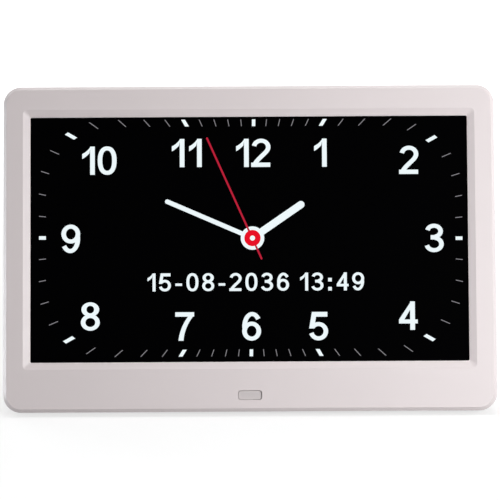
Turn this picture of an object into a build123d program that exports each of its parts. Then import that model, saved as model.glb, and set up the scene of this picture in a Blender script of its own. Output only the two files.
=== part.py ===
from build123d import *
import os
from math import atan2, cos, hypot, radians, sin, sqrt, tan

# A digital reminder clock: a 10.1 inch screen in a moulded frame that leans back on a folding leg.
# Millimetres and degrees. +X is to the right of the screen, -Y is in front of it, +Z is up.
# Places on the clock are given as x, height up the face, and depth behind the face.

# Screen, and the bands of the front frame around it
SCREEN_WIDTH = 222.7
SCREEN_HEIGHT = 125.3
SIDE_BAND = 13.7
TOP_BAND = 15.6
BOTTOM_BAND = 25.25

# Housing shells
LEAN = 18.0
WALL = 2.0
CORNER_RADIUS = 9.0
BEZEL_DEPTH = 9.0
COVER_DEPTH = 13.0
FRONT_CHAMFER = 1.6
SIDE_DRAFT = 0.5
REAR_EDGE_RADIUS = 2.5
SEAM_CHAMFER = 0.3
BEVEL_WIDTH = 3.7
BEVEL_DEPTH = 1.7
BEVEL_CORNER = 2.0
WINDOW_LIP = 0.8
WINDOW_CORNER = 0.8
LEDGE_WIDTH = 2.0

# Locating tabs between the two shells
TAB_LENGTH = 14.0
TAB_THICKNESS = 1.5
TAB_REACH = 3.0
TAB_ROOT = 4.0
TAB_SPACING = 140.0

# Fits
SLIP_GAP = 0.15
SHEET_GAP = 0.3
RUNNING_GAP = 0.05
PIN_GAP = 0.02

# Screen module, from its front to its back
GASKET_THICKNESS = 0.5
FRAME_SHEET = 0.4
GLASS_THICKNESS = 1.2
DIFFUSER_THICKNESS = 0.4
GUIDE_THICKNESS = 2.0
REFLECTOR_THICKNESS = 0.2
TRAY_THICKNESS = 0.5
PANEL_SIDE_BORDER = 6.15
PANEL_TOP_BORDER = 4.1
PANEL_BOTTOM_BORDER = 13.6
FRAME_REVEAL = 1.2
LED_STRIP_HEIGHT = 3.0
DRIVER_WIDTH = 150.0
DRIVER_HEIGHT = 14.0
DRIVER_THICKNESS = 1.0
DRIVER_RISE = 1.4

# Screws, bosses and posts
SCREW_SHANK = 1.25
SCREW_HEAD = 2.4
SCREW_HEAD_HEIGHT = 1.6
SCREW_LENGTH = 8.0
SCREW_SEAT = 3.0
SCREW_SPREAD = 208.0
SCREW_COLUMNS = 4
BOSS_RADIUS = 2.6
BOSS_GAP = 0.4
BOSS_FLOOR = 1.2
POST_RADIUS = 3.6
WELL_RADIUS = 2.8
DRIVE_SLOT_LENGTH = 2.6
DRIVE_SLOT_WIDTH = 0.7
DRIVE_SLOT_DEPTH = 0.8
SMALL_SHANK = 1.0
SMALL_HEAD = 1.8
SMALL_HEAD_HEIGHT = 1.2
SMALL_SCREW_LENGTH = 4.5
SMALL_BOSS_RADIUS = 2.2

# Panel clips
CLIP_HEIGHT = 9.0
CLIP_OVERLAP = 5.0
CLIP_THICKNESS = 0.8
CLIP_SPREAD = 86.0

# Remote receiver
IR_WIDTH = 12.1
IR_HEIGHT = 4.8
IR_CORNER = 1.4
IR_GAP = 0.25
IR_RISE = 8.25
IR_INSET = 0.8
IR_FLANGE = 0.8
IR_BOARD_WIDTH = 32.0
IR_BOARD_HEIGHT = 6.0
IR_BOARD_THICKNESS = 1.2
IR_BOARD_DEPTH = 6.6
IR_BOSS_SPREAD = 25.0
IR_BODY_WIDTH = 6.4
IR_BODY_HEIGHT = 5.2
IR_BODY_THICKNESS = 2.4
IR_BODY_CORNER = 1.0
IR_LENS_RADIUS = 0.9
IR_BOSS_FLOOR = 0.6

# Folding leg, hinge and foot
LEG_WIDTH = 50.0
LEG_THICKNESS = 5.6
LEG_SKIN = 1.8
LEG_RIB = 1.6
LEG_RIM = 2.4
LEG_EDGE_RADIUS = 0.8
LEG_FLUSH = 0.3
LEG_SIDE_GAP = 1.0
LEG_POCKETS_ACROSS = 3
LEG_POCKETS_ALONG = 4
LEG_END_GAP = 0.8
LEG_REACH = 50.0
HINGE_RISE = 125.0
PIN_RADIUS = 1.5
RECESS_GAP = 0.5
STOP_GAP = 0.1
HEEL_RISE = 5.0
FOOT_LENGTH = 4.0
FOOT_SIDE = 2.0
TONGUE_THICKNESS = 2.0
TONGUE_LENGTH = 3.0
SCOOP_RADIUS = 9.0
SCOOP_DEPTH = 4.5
SCOOP_RISE = 15.0

# Rubber pads under the housing
PAD_LENGTH = 26.0
PAD_WIDTH = 6.0
PAD_THICKNESS = 1.0
PAD_PROUD = 0.3
PAD_SPREAD = 160.0
PAD_CORNER = 1.5

# Keyhole for a wall screw
KEYHOLE_RADIUS = 4.0
KEYHOLE_SLOT = 4.2
KEYHOLE_RUN = 6.5

# Keys on the back
KEY_COUNT = 6
KEY_PITCH = 12.0
KEY_RADIUS = 3.6
KEY_GAP = 0.3
KEY_PROUD = 0.8
KEY_FLANGE = 0.9
KEY_FLANGE_THICKNESS = 1.0
KEY_FLANGE_GAP = 0.2
KEY_TRAVEL = 0.5
KEY_EDGE_RADIUS = 0.5
KEY_DROP = 19.0
KEY_ROW_INSET = 14.0
KEY_BOARD_HEIGHT = 12.0
KEY_BOARD_END = 9.0
SWITCH_SIDE = 6.0
SWITCH_HEIGHT = 3.5
SWITCH_CLEARANCE = 0.3
PLUNGER_RADIUS = 1.75
PLUNGER_SINK = 1.2
PLUNGER_PROUD = 1.2

# Main board and what is on it
BOARD_THICKNESS = 1.6
BOARD_CLEARANCE = 11.0
BOARD_SIDE_GAP = 12.0
BOARD_FRONT_GAP = 2.4
BOARD_SCREW_INSET = 4.5
CHIP_SIDE = 14.0
CHIP_THICKNESS = 1.4
CHIP_SHIFT = -4.0
CHIP_DROP = 10.0
MEMORY_WIDTH = 9.0
MEMORY_HEIGHT = 11.0
MEMORY_THICKNESS = 1.1
MEMORY_SHIFT = 12.0
MEMORY_PITCH = 12.0
CAPACITOR_RADIUS = 3.15
CAPACITOR_HEIGHT = 5.6
CAPACITOR_COUNT = 3
CAPACITOR_SHIFT = 4.0
CAPACITOR_PITCH = 9.0
CAPACITOR_LIFT = 12.0
CELL_RADIUS = 10.0
CELL_THICKNESS = 3.2
CELL_SIDE_GAP = 8.5
CELL_LIFT = 8.0
HOLDER_WALL = 1.4
HOLDER_FLOOR = 0.8
HOLDER_HEIGHT = 3.0

# Power inlet in the right side
JACK_WIDTH = 9.0
JACK_HEIGHT = 7.6
JACK_LENGTH = 12.5
JACK_BORE = 3.0
JACK_BORE_DEPTH = 9.5
JACK_PIN = 1.05
JACK_PIN_LENGTH = 8.6
JACK_HOLE = 3.6
JACK_WALL_GAP = 0.3
JACK_OVERHANG = 1.5

# Speaker
SPEAKER_SIDE = 42.0
SPEAKER_CORNER = 4.0
SPEAKER_RISE = 70.0
SPEAKER_FLANGE = 1.2
SPEAKER_MOUTH = 17.0
SPEAKER_BACK = 10.0
SPEAKER_DEPTH = 5.4
SPEAKER_SHEET = 0.8
SPEAKER_SCREW_INSET = 4.2
SPEAKER_GASKET = 2.0
SPEAKER_GASKET_WIDTH = 2.6
MAGNET_HEIGHT = 2.2
CONE_SHEET = 0.5
CONE_NECK = 5.0
GRILLE_SLOTS = 7
GRILLE_PITCH = 4.2
GRILLE_SLOT = 1.8
GRILLE_RADIUS = 15.0

# Leads and ribbons inside
LEAD_RADIUS = 0.8
LEAD_BEND = 2.4
RIBBON_WIDTH = 20.0
KEY_RIBBON_WIDTH = 10.0
RIBBON_THICKNESS = 0.3
RIBBON_BEND = 1.4
SPEAKER_LEAD_RUN = 6.0
SPEAKER_LEAD_SLOPE = 8.0
SPEAKER_LEAD_LIFT = 8.0
IR_LEAD_START = 4.0
IR_LEAD_TURN = 16.0
IR_LEAD_END = 8.0
RIBBON_INSET = 4.0
RIBBON_RUN = 3.0
KEY_RIBBON_RUN = 10.0
KEY_RIBBON_SPAN = 42.8

# Sizes that follow
lean = radians(LEAN)
housing_width = SCREEN_WIDTH + 2 * SIDE_BAND
housing_height = SCREEN_HEIGHT + TOP_BAND + BOTTOM_BAND
housing_depth = BEZEL_DEPTH + COVER_DEPTH
back_wall = housing_depth - WALL
cover_taper = COVER_DEPTH * tan(lean)
screen_rise = BOTTOM_BAND + SCREEN_HEIGHT / 2

ledge_back = BEVEL_DEPTH + WINDOW_LIP
panel_front = ledge_back + GASKET_THICKNESS
glass_front = panel_front + FRAME_SHEET
diffuser_front = glass_front + GLASS_THICKNESS
guide_front = diffuser_front + DIFFUSER_THICKNESS
reflector_front = guide_front + GUIDE_THICKNESS
tray_front = reflector_front + REFLECTOR_THICKNESS
panel_back = tray_front + TRAY_THICKNESS
panel_width = SCREEN_WIDTH + 2 * PANEL_SIDE_BORDER
panel_height = SCREEN_HEIGHT + PANEL_TOP_BORDER + PANEL_BOTTOM_BORDER
panel_bottom = BOTTOM_BAND - PANEL_BOTTOM_BORDER
panel_rise = panel_bottom + panel_height / 2
panel_top = panel_bottom + panel_height

# The leg swings about the hinge until its heel meets the floor of the recess.
# Its foot then stands on the table, a set reach behind the hinge.
leg_rear = LEG_THICKNESS / 2 + STOP_GAP
leg_front = leg_rear - LEG_THICKNESS
hinge_depth = housing_depth - LEG_FLUSH - leg_rear
barrel_radius = LEG_THICKNESS / 2
heel_radius = barrel_radius + RECESS_GAP - STOP_GAP
recess_floor = hinge_depth - barrel_radius - RECESS_GAP
nose_radius = LEG_THICKNESS / 2
nose_offset = leg_rear - nose_radius
face_z = BEZEL_DEPTH * sin(lean) - SIDE_DRAFT * cos(lean) + PAD_PROUD
foot_depth = hinge_depth + LEG_REACH
foot_rise = (nose_radius - face_z + foot_depth * sin(lean)) / cos(lean)
leg_span = hypot(LEG_REACH, HINGE_RISE - foot_rise)
leg_length = sqrt(leg_span**2 - nose_offset**2)
swing = atan2(LEG_REACH, HINGE_RISE - foot_rise) - atan2(nose_offset, leg_length)
leg_tilt = swing - lean
heel_top = HEEL_RISE * cos(swing) + heel_radius * sin(swing)
heel_front = HEEL_RISE * sin(swing) - heel_radius * cos(swing)
recess_top = HINGE_RISE + hypot(heel_top, leg_rear) + RECESS_GAP
recess_bottom = HINGE_RISE - leg_length - nose_radius - LEG_END_GAP
recess_half = LEG_WIDTH / 2 + LEG_SIDE_GAP

# The front face: local x to the right, local y up the face, local z out of the face.
# The origin of the part lies on the table, in the middle of the clock's depth.
front_most = FRONT_CHAMFER * sin(lean)
rear_most = foot_rise * sin(lean) + foot_depth * cos(lean) + nose_radius
face_y = -(front_most + rear_most) / 2
face = Plane(origin=(0, face_y, face_z), x_dir=(1, 0, 0), z_dir=(0, -cos(lean), sin(lean)))
to_back = Axis(face.origin, -face.z_dir)


def behind(depth):
    """Plane parallel to the front face and this deep behind it, still facing the front."""
    return face.offset(-depth)


def point(x, rise, depth):
    """Place in the part's frame of a place on the clock."""
    return face.from_local_coords((x, rise, -depth))


def turning_plane(x, rise):
    """Plane for profiles turned about a line square to the face: radius, then depth."""
    return Plane(origin=point(x, rise, 0), x_dir=(1, 0, 0), z_dir=face.y_dir)


def side_plane(x, rise, depth):
    """Plane that faces to the right through a place on the clock."""
    return Plane(origin=point(x, rise, depth), x_dir=(0, 1, 0), z_dir=(1, 0, 0))


hinge_point = point(0, HINGE_RISE, hinge_depth)
leg_down = Vector(0, sin(leg_tilt), -cos(leg_tilt))
leg_back = Vector(0, cos(leg_tilt), sin(leg_tilt))
leg_side = Plane(origin=hinge_point, x_dir=leg_down, z_dir=(1, 0, 0))
leg_face = Plane(origin=hinge_point, x_dir=(1, 0, 0), z_dir=leg_back)

# Places shared by pieces that meet
inner_half = housing_width / 2 - WALL
clip_x = (panel_width / 2 + inner_half) / 2
clip_points = [(x, panel_rise + s * CLIP_SPREAD / 2) for x in (-clip_x, clip_x) for s in (-1, 1)]
screw_pitch = SCREW_SPREAD / (SCREW_COLUMNS - 1)
screw_low = panel_bottom - BOSS_GAP - BOSS_RADIUS
screw_high = panel_top + BOSS_GAP + BOSS_RADIUS
screw_points = [
    (column * screw_pitch - SCREW_SPREAD / 2, rise)
    for column in range(SCREW_COLUMNS)
    for rise in (screw_low, screw_high)
]
ir_points = [(-IR_BOSS_SPREAD / 2, IR_RISE), (IR_BOSS_SPREAD / 2, IR_RISE)]

driver_top = panel_bottom + DRIVER_RISE + DRIVER_HEIGHT
key_rise = housing_height - cover_taper - KEY_DROP
key_board_bottom = key_rise - KEY_BOARD_HEIGHT / 2

board_front = panel_back + BOARD_FRONT_GAP
board_back = board_front + BOARD_THICKNESS
board_left = recess_half + WALL + BOARD_SIDE_GAP
jack_top = board_back + JACK_HEIGHT
jack_axis = board_back + JACK_HEIGHT / 2
jack_face = inner_half - SIDE_DRAFT - (jack_top - BEZEL_DEPTH) * tan(lean) - JACK_WALL_GAP
board_right = jack_face - JACK_OVERHANG
board_width = board_right - board_left
board_x = (board_left + board_right) / 2
board_bottom = driver_top + BOARD_CLEARANCE
board_top = key_board_bottom - KEY_RIBBON_SPAN
board_rise = (board_bottom + board_top) / 2
board_points = [
    (x, rise)
    for x in (board_left + BOARD_SCREW_INSET, board_right - BOARD_SCREW_INSET)
    for rise in (board_bottom + BOARD_SCREW_INSET, board_top - BOARD_SCREW_INSET)
]
jack_rise = board_rise

key_flange_front = back_wall - KEY_FLANGE_GAP - KEY_FLANGE_THICKNESS
switch_back = key_flange_front - PLUNGER_PROUD
switch_front = switch_back - SWITCH_HEIGHT
key_board_front = switch_front - BOARD_THICKNESS
key_last = inner_half - cover_taper - KEY_ROW_INSET
key_xs = [key_last - KEY_PITCH * i for i in range(KEY_COUNT)]
key_board_x = (key_xs[0] + key_xs[-1]) / 2
key_board_half = (KEY_COUNT - 1) * KEY_PITCH / 2 + KEY_BOARD_END
key_screw_x = key_board_half - SMALL_BOSS_RADIUS
key_points = [(key_board_x - key_screw_x, key_rise), (key_board_x + key_screw_x, key_rise)]

speaker_x = -(recess_half + WALL + inner_half - cover_taper) / 2
flange_back = back_wall - SPEAKER_GASKET
flange_front = flange_back - SPEAKER_FLANGE
basket_front = flange_front - SPEAKER_DEPTH
speaker_screw = SPEAKER_SIDE / 2 - SPEAKER_SCREW_INSET
speaker_points = [
    (speaker_x + sx * speaker_screw, SPEAKER_RISE + sy * speaker_screw) for sx in (-1, 1) for sy in (-1, 1)
]
tab_low = WALL + SLIP_GAP + TAB_THICKNESS / 2
tab_points = [
    (x, rise)
    for x in (-TAB_SPACING / 2, TAB_SPACING / 2)
    for rise in (tab_low, housing_height - tab_low)
]
pad_y = point(0, SIDE_DRAFT + cover_taper / 2, BEZEL_DEPTH + COVER_DEPTH / 2).Y
pad_points = [(-PAD_SPREAD / 2, pad_y), (PAD_SPREAD / 2, pad_y)]
scoop_points = [(x, recess_bottom + SCOOP_RISE) for x in (-recess_half, recess_half)]
keyhole_rise = (recess_top + WALL + housing_height - cover_taper - KEYHOLE_RUN) / 2

os.makedirs("parts", exist_ok=True)


def save(piece, name):
    """Label a finished piece and write it."""
    piece.part.label = name
    export_step(piece.part, f"parts/{name}.step")


def outline(inset):
    """The housing's rounded outline, drawn in by an inset."""
    with Locations((0, housing_height / 2)):
        RectangleRounded(housing_width - 2 * inset, housing_height - 2 * inset, CORNER_RADIUS - inset)


def sheet(name, width, height, x, rise, front, thickness):
    """A flat rectangular piece parallel to the front face."""
    with BuildPart() as piece:
        with BuildSketch(behind(front + thickness)):
            with Locations((x, rise)):
                Rectangle(width, height)
        extrude(amount=thickness)
    save(piece, name)


def small_screws(name, places, seat, forward):
    """Pan-head screws that press on a seat and point to the front or to the back."""
    side = 1 if forward else -1
    with BuildPart() as piece:
        with BuildSketch(behind(seat)):
            with Locations(*places):
                Circle(SMALL_HEAD)
        extrude(amount=-side * SMALL_HEAD_HEIGHT)
        with BuildSketch(behind(seat)):
            with Locations(*places):
                Circle(SMALL_SHANK)
        extrude(amount=side * SMALL_SCREW_LENGTH)
    save(piece, name)


def lead(name, places):
    """A round lead along straight runs and arcs, from one piece to another."""
    with BuildPart() as piece:
        with BuildLine() as route:
            FilletPolyline(*[point(*place) for place in places], radius=LEAD_BEND)
        with BuildSketch(Plane(origin=route.line @ 0, z_dir=route.line % 0)):
            Circle(LEAD_RADIUS)
        sweep(path=route.line)
    save(piece, name)


def ribbon(name, width, places):
    """A flat cable along straight runs and arcs, its width along x."""
    with BuildPart() as piece:
        with BuildLine() as route:
            FilletPolyline(*[point(*place) for place in places], radius=RIBBON_BEND)
        with BuildSketch(Plane(origin=route.line @ 0, x_dir=(1, 0, 0), z_dir=route.line % 0)):
            Rectangle(width, RIBBON_THICKNESS)
        sweep(path=route.line)
    save(piece, name)


# Front bezel: a tray with a chamfered front edge and drafted sides, open to the back, and a bevelled window
with BuildPart() as front_bezel:
    with BuildSketch(face):
        outline(FRONT_CHAMFER)
    with BuildSketch(behind(FRONT_CHAMFER)):
        outline(0)
    with BuildSketch(behind(BEZEL_DEPTH - SEAM_CHAMFER)):
        outline(SIDE_DRAFT)
    with BuildSketch(behind(BEZEL_DEPTH)):
        outline(SIDE_DRAFT + SEAM_CHAMFER)
    loft(ruled=True)
    with BuildSketch(behind(BEZEL_DEPTH)):
        outline(WALL)
    extrude(amount=BEZEL_DEPTH - WALL, mode=Mode.SUBTRACT)
    with BuildSketch(behind(ledge_back)):
        with Locations((0, screen_rise)):
            Rectangle(
                SCREEN_WIDTH + 2 * (BEVEL_WIDTH + LEDGE_WIDTH),
                SCREEN_HEIGHT + 2 * (BEVEL_WIDTH + LEDGE_WIDTH),
            )
    extrude(amount=ledge_back - WALL)
    with BuildSketch(behind(BEZEL_DEPTH)):
        with Locations(*screw_points):
            Circle(BOSS_RADIUS)
    extrude(amount=BEZEL_DEPTH - WALL)
    with BuildSketch(behind(panel_back)):
        with Locations(*clip_points):
            Circle(SMALL_BOSS_RADIUS)
    extrude(amount=panel_back - WALL)
    with BuildSketch(behind(IR_BOARD_DEPTH)):
        with Locations(*ir_points):
            Circle(SMALL_BOSS_RADIUS)
    extrude(amount=IR_BOARD_DEPTH - WALL)
    with BuildSketch(behind(BEZEL_DEPTH)):
        with Locations(*screw_points):
            Circle(SCREW_SHANK + RUNNING_GAP)
    extrude(amount=BEZEL_DEPTH - WALL - BOSS_FLOOR, mode=Mode.SUBTRACT)
    with BuildSketch(behind(panel_back)):
        with Locations(*clip_points):
            Circle(SMALL_SHANK + RUNNING_GAP)
    extrude(amount=panel_back - WALL - BOSS_FLOOR, mode=Mode.SUBTRACT)
    with BuildSketch(behind(IR_BOARD_DEPTH)):
        with Locations(*ir_points):
            Circle(SMALL_SHANK + RUNNING_GAP)
    extrude(amount=IR_BOARD_DEPTH - WALL - IR_BOSS_FLOOR, mode=Mode.SUBTRACT)
    with BuildSketch(behind(ledge_back)):
        with Locations((0, screen_rise)):
            RectangleRounded(SCREEN_WIDTH, SCREEN_HEIGHT, WINDOW_CORNER)
    extrude(amount=ledge_back, mode=Mode.SUBTRACT)
    with BuildSketch(behind(BEVEL_DEPTH)):
        with Locations((0, screen_rise)):
            RectangleRounded(SCREEN_WIDTH, SCREEN_HEIGHT, WINDOW_CORNER)
    with BuildSketch(face):
        with Locations((0, screen_rise)):
            RectangleRounded(SCREEN_WIDTH + 2 * BEVEL_WIDTH, SCREEN_HEIGHT + 2 * BEVEL_WIDTH, BEVEL_CORNER)
    loft(ruled=True, mode=Mode.SUBTRACT)
    with BuildSketch(behind(WALL)):
        with Locations((0, IR_RISE)):
            RectangleRounded(IR_WIDTH, IR_HEIGHT, IR_CORNER)
    extrude(amount=WALL, mode=Mode.SUBTRACT)
save(front_bezel, "front_bezel")

# Screen module: steel frame, glass, optical sheets, light bar and steel tray, stacked to the back
with BuildPart() as panel_gasket:
    with BuildSketch(behind(panel_front)):
        with Locations((0, screen_rise)):
            Rectangle(SCREEN_WIDTH + 2 * (BEVEL_WIDTH + FRAME_REVEAL), SCREEN_HEIGHT + 2 * PANEL_TOP_BORDER)
            Rectangle(SCREEN_WIDTH + 2 * FRAME_REVEAL, SCREEN_HEIGHT + 2 * FRAME_REVEAL, mode=Mode.SUBTRACT)
    extrude(amount=GASKET_THICKNESS)
save(panel_gasket, "panel_gasket")

with BuildPart() as lcd_frame:
    with BuildSketch(behind(tray_front)):
        with Locations((0, panel_rise)):
            Rectangle(panel_width, panel_height)
    extrude(amount=tray_front - panel_front)
    with BuildSketch(behind(tray_front)):
        with Locations((0, panel_rise)):
            Rectangle(panel_width - 2 * FRAME_SHEET, panel_height - 2 * FRAME_SHEET)
    extrude(amount=tray_front - glass_front, mode=Mode.SUBTRACT)
    with BuildSketch(behind(glass_front)):
        with Locations((0, screen_rise)):
            Rectangle(SCREEN_WIDTH + 2 * FRAME_REVEAL, SCREEN_HEIGHT + 2 * FRAME_REVEAL)
    extrude(amount=FRAME_SHEET, mode=Mode.SUBTRACT)
save(lcd_frame, "lcd_frame")

stack_width = panel_width - 2 * FRAME_SHEET - 2 * SHEET_GAP
stack_height = panel_height - 2 * FRAME_SHEET - 2 * SHEET_GAP
stack_bottom = panel_rise - stack_height / 2
guide_height = stack_height - LED_STRIP_HEIGHT - SHEET_GAP
guide_rise = stack_bottom + stack_height - guide_height / 2
sheet("lcd_glass", stack_width, stack_height, 0, panel_rise, glass_front, GLASS_THICKNESS)
sheet("diffuser_sheet", stack_width, stack_height, 0, panel_rise, diffuser_front, DIFFUSER_THICKNESS)
sheet("light_guide", stack_width, guide_height, 0, guide_rise, guide_front, GUIDE_THICKNESS)
led_rise = stack_bottom + LED_STRIP_HEIGHT / 2
sheet("led_strip", stack_width, LED_STRIP_HEIGHT, 0, led_rise, guide_front, GUIDE_THICKNESS)
sheet("reflector_sheet", stack_width, stack_height, 0, panel_rise, reflector_front, REFLECTOR_THICKNESS)
sheet("backlight_tray", panel_width, panel_height, 0, panel_rise, tray_front, TRAY_THICKNESS)
driver_rise = panel_bottom + DRIVER_RISE + DRIVER_HEIGHT / 2
sheet("panel_driver_board", DRIVER_WIDTH, DRIVER_HEIGHT, 0, driver_rise, panel_back, DRIVER_THICKNESS)

# Panel clips: flat steel straps from bosses in the bezel over the edges of the module
clip_inner = panel_width / 2 - CLIP_OVERLAP
clip_outer = clip_x + SMALL_HEAD
clip_middle = (clip_inner + clip_outer) / 2
with BuildPart() as panel_clips:
    with BuildSketch(behind(panel_back + CLIP_THICKNESS)):
        with Locations(*[(clip_middle if x > 0 else -clip_middle, rise) for x, rise in clip_points]):
            Rectangle(clip_outer - clip_inner, CLIP_HEIGHT)
        with Locations(*clip_points):
            Circle(SMALL_SHANK + SLIP_GAP, mode=Mode.SUBTRACT)
    extrude(amount=CLIP_THICKNESS)
save(panel_clips, "panel_clips")
small_screws("panel_clip_screws", clip_points, panel_back + CLIP_THICKNESS, True)

# Remote receiver: a flanged window, and a sensor with a domed lens on a small board
with BuildPart() as ir_window:
    with BuildSketch(behind(WALL)):
        with Locations((0, IR_RISE)):
            RectangleRounded(IR_WIDTH - 2 * IR_GAP, IR_HEIGHT - 2 * IR_GAP, IR_CORNER - IR_GAP)
    extrude(amount=WALL - IR_INSET)
    with BuildSketch(behind(WALL + IR_FLANGE)):
        with Locations((0, IR_RISE)):
            RectangleRounded(IR_WIDTH + 2 * IR_FLANGE, IR_HEIGHT + 2 * IR_FLANGE, IR_CORNER)
    extrude(amount=IR_FLANGE)
save(ir_window, "ir_window")

with BuildPart() as ir_receiver:
    with BuildSketch(behind(IR_BOARD_DEPTH)):
        with Locations((0, IR_RISE)):
            RectangleRounded(IR_BODY_WIDTH, IR_BODY_HEIGHT, IR_BODY_CORNER)
    extrude(amount=IR_BODY_THICKNESS)
    lens_depth = IR_BOARD_DEPTH - IR_BODY_THICKNESS
    with BuildSketch(turning_plane(0, IR_RISE)):
        with BuildLine():
            CenterArc((0, lens_depth), IR_LENS_RADIUS, 270, 90)
            Polyline((IR_LENS_RADIUS, lens_depth), (0, lens_depth), (0, lens_depth - IR_LENS_RADIUS))
        make_face()
    revolve(axis=Axis(point(0, IR_RISE, 0), -face.z_dir))
save(ir_receiver, "ir_receiver")

with BuildPart() as ir_board:
    with BuildSketch(behind(IR_BOARD_DEPTH + IR_BOARD_THICKNESS)):
        with Locations((0, IR_RISE)):
            Rectangle(IR_BOARD_WIDTH, IR_BOARD_HEIGHT)
        with Locations(*ir_points):
            Circle(SMALL_SHANK + SLIP_GAP, mode=Mode.SUBTRACT)
    extrude(amount=IR_BOARD_THICKNESS)
save(ir_board, "ir_board")
small_screws("ir_board_screws", ir_points, IR_BOARD_DEPTH + IR_BOARD_THICKNESS, True)

# Rear cover: a tray whose walls draw in at the angle of lean, so that the lower wall lies level.
# The hollow is made first, less the linings of the leg recess and the posts, and then cut out.
with BuildPart() as cover_hollow:
    with BuildSketch(behind(BEZEL_DEPTH)):
        outline(WALL + SIDE_DRAFT)
    with BuildSketch(behind(back_wall)):
        outline(WALL + SIDE_DRAFT + cover_taper * (COVER_DEPTH - WALL) / COVER_DEPTH)
    loft(ruled=True)
    lining_bottom = recess_bottom - WALL
    lining_top = recess_top + WALL
    with BuildSketch(behind(housing_depth)):
        with Locations((0, (lining_bottom + lining_top) / 2)):
            Rectangle(2 * (recess_half + WALL), lining_top - lining_bottom)
    extrude(amount=housing_depth - recess_floor + WALL, mode=Mode.SUBTRACT)
    with BuildSketch(behind(housing_depth)):
        with Locations(*scoop_points):
            Circle(SCOOP_RADIUS + WALL)
    extrude(amount=SCOOP_DEPTH + WALL, mode=Mode.SUBTRACT)
    with BuildSketch(behind(back_wall)):
        with Locations(*screw_points):
            Circle(POST_RADIUS)
    extrude(amount=back_wall - BEZEL_DEPTH, mode=Mode.SUBTRACT)
    with BuildSketch(behind(back_wall)):
        with Locations(*board_points):
            Circle(BOSS_RADIUS)
    extrude(amount=back_wall - board_back, mode=Mode.SUBTRACT)
    with BuildSketch(behind(back_wall)):
        with Locations(*key_points):
            Circle(SMALL_BOSS_RADIUS)
    extrude(amount=back_wall - switch_front, mode=Mode.SUBTRACT)
    with BuildSketch(behind(back_wall)):
        with Locations(*speaker_points):
            Circle(SMALL_BOSS_RADIUS)
    extrude(amount=back_wall - flange_back, mode=Mode.SUBTRACT)

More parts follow.
